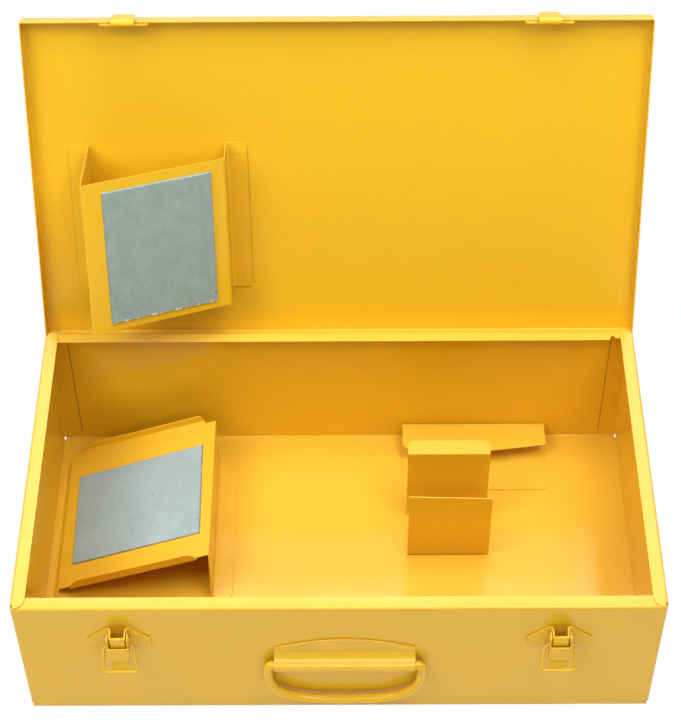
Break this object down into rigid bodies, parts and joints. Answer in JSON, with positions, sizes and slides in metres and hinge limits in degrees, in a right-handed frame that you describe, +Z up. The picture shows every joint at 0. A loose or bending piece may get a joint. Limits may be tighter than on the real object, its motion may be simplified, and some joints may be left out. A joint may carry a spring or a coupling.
{
  "type": "tool case",
  "caption": "Rectangular sheet-steel tool case with a hinged pan lid, toggle latches, a folding carry bail and padded rests that hold a tool.",
  "frame": {"origin": "centre of the floor sheet's underside", "axes": "+X along the length to the right as seen from the handle side, +Y from the handle side to the hinges, +Z up"},
  "size_m": [0.5344, 0.4388, 0.4236],
  "materials": {
    "yellow_coat": "glossy powder coat",
    "grey_pad": "pressed felt, matt"
  },
  "bodies": {
    "case": {"body_shell": "yellow_coat", "left_end_panel": "yellow_coat", "right_end_panel": "yellow_coat", "rest_bracket": "yellow_coat", "rest_pad": "grey_pad", "tool_cradle": "yellow_coat", "rear_clip": "yellow_coat", "handle_plate": "yellow_coat", "left_latch_base": "yellow_coat", "left_latch_pin": "yellow_coat", "left_hinge_body_leaf": "yellow_coat", "left_hinge_pin": "yellow_coat", "right_latch_base": "yellow_coat", "right_latch_pin": "yellow_coat", "right_hinge_body_leaf": "yellow_coat", "right_hinge_pin": "yellow_coat"},
    "lid": {"lid_pan": "yellow_coat", "lid_bracket": "yellow_coat", "lid_pad": "grey_pad", "left_keeper": "yellow_coat", "left_hinge_lid_leaf": "yellow_coat", "right_keeper": "yellow_coat", "right_hinge_lid_leaf": "yellow_coat"},
    "bail": {"handle_bail": "yellow_coat"},
    "left_lever": {"left_latch_lever": "yellow_coat"},
    "left_loop": {"left_latch_loop": "yellow_coat"},
    "right_lever": {"right_latch_lever": "yellow_coat"},
    "right_loop": {"right_latch_loop": "yellow_coat"}
  },
  "joints": [
    {"name": "lid_hinge", "type": "hinge", "parent": "case", "child": "lid", "pos_m": [0, 0.1511, 0.1362], "axis": [1, 0, 0], "range_deg": [0, 110.6]},
    {"name": "handle_swing", "type": "hinge", "parent": "case", "child": "bail", "pos_m": [0.0045, -0.1538, 0.0755], "axis": [-1, 0, 0], "range_deg": [0, 175]},
    {"name": "left_lever_turn", "type": "hinge", "parent": "case", "child": "left_lever", "pos_m": [-0.18, -0.1562, 0.119], "axis": [1, 0, 0], "range_deg": [-150, 0]},
    {"name": "left_loop_turn", "type": "hinge", "parent": "left_lever", "child": "left_loop", "pos_m": [-0.18, -0.1562, 0.108], "axis": [-1, 0, 0], "range_deg": [0, 168.3]},
    {"name": "right_lever_turn", "type": "hinge", "parent": "case", "child": "right_lever", "pos_m": [0.18, -0.1562, 0.119], "axis": [1, 0, 0], "range_deg": [-150, 0]},
    {"name": "right_loop_turn", "type": "hinge", "parent": "right_lever", "child": "right_loop", "pos_m": [0.18, -0.1562, 0.108], "axis": [-1, 0, 0], "range_deg": [0, 168.3]}
  ]
}
